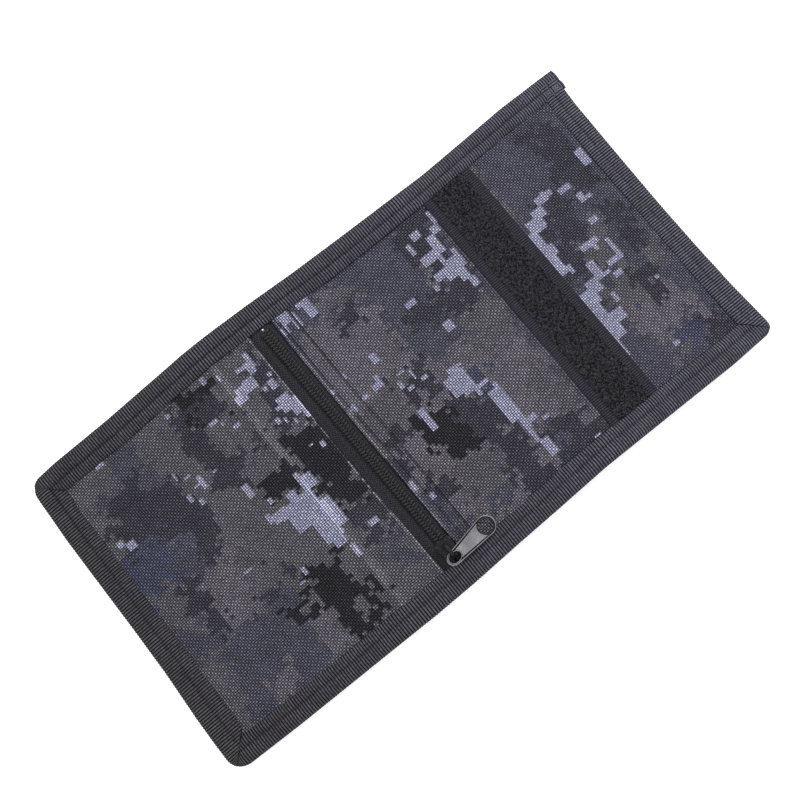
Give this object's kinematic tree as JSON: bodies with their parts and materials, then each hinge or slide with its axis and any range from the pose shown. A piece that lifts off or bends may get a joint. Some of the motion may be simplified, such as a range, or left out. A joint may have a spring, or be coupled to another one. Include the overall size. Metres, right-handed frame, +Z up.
{
  "type": "trifold wallet",
  "caption": "Cloth trifold wallet lying open, outer face up, with tape-bound edges, a coin zip beside one fold and a loop strip beside the other.",
  "frame": {"origin": "centre of the open wallet's plan box, on the surface that its two end edges stand on", "axes": "+X from the front flap to the strip panel, +Y to the long edge away from the zip's closed end, +Z up out of the outer face"},
  "size_m": [0.2529, 0.1303, 0.0229],
  "materials": {
    "camouflage_cloth": "printed plain-weave Oxford polyester, matt",
    "lining_cloth": "fine black plain-weave nylon",
    "binding_tape": "ribbed grosgrain tape",
    "zip_tape": "herringbone woven zip tape",
    "zip_coil": "moulded nylon coil",
    "loop_pile": "brushed loop pile",
    "hook_nylon": "woven hook tape",
    "clear_vinyl": "soft clear vinyl",
    "slider_enamel": "black enamel",
    "puller_nickel": "tumbled gunmetal nickel plate"
  },
  "bodies": {
    "middle_panel": {"shell_front_return": "camouflage_cloth", "shell_middle": "camouflage_cloth", "coin_lining_middle": "lining_cloth", "bill_wall_middle": "lining_cloth", "card_pocket_middle": "lining_cloth", "id_window": "clear_vinyl", "binding_bottom_middle": "binding_tape", "binding_top_middle": "binding_tape", "zip_tape_left": "zip_tape", "zip_tape_right": "zip_tape", "zip_coil_left": "zip_coil", "zip_coil_right": "zip_coil"},
    "front_flap": {"shell_front_flap": "camouflage_cloth", "coin_lining_flap": "lining_cloth", "bill_wall_flap": "lining_cloth", "hook_strip": "hook_nylon", "binding_bottom_flap": "binding_tape", "binding_top_flap": "binding_tape", "binding_front_end": "binding_tape"},
    "strip_panel": {"shell_strip_panel": "camouflage_cloth", "loop_strip": "loop_pile", "coin_lining_strip_panel": "lining_cloth", "bill_wall_strip_panel": "lining_cloth", "card_pocket_back": "lining_cloth", "card_pocket_front": "lining_cloth", "binding_bottom_strip_panel": "binding_tape", "binding_rear_end": "binding_tape", "binding_top_strip_panel": "binding_tape"},
    "slider": {"zip_slider": "slider_enamel"},
    "puller": {"zip_puller": "puller_nickel"}
  },
  "joints": [
    {"name": "front_fold", "type": "hinge", "parent": "middle_panel", "child": "front_flap", "pos_m": [-0.0426, 0, 0.0093], "axis": [0, -1, 0], "range_deg": [0, 171.22]},
    {"name": "strip_fold", "type": "hinge", "parent": "middle_panel", "child": "strip_panel", "pos_m": [0.0472, 0, 0.01255], "axis": [0, 1, 0], "range_deg": [0, 170.73]},
    {"name": "zip_slide", "type": "slide", "parent": "middle_panel", "child": "slider", "axis": [-0.0117, 0.9999, 0], "range_m": [0, 0.0995]},
    {"name": "puller_swing", "type": "hinge", "parent": "slider", "child": "puller", "pos_m": [-0.01856, -0.0544, 0.021], "axis": [0, 0, 1], "range_deg": [-187, 0]}
  ]
}
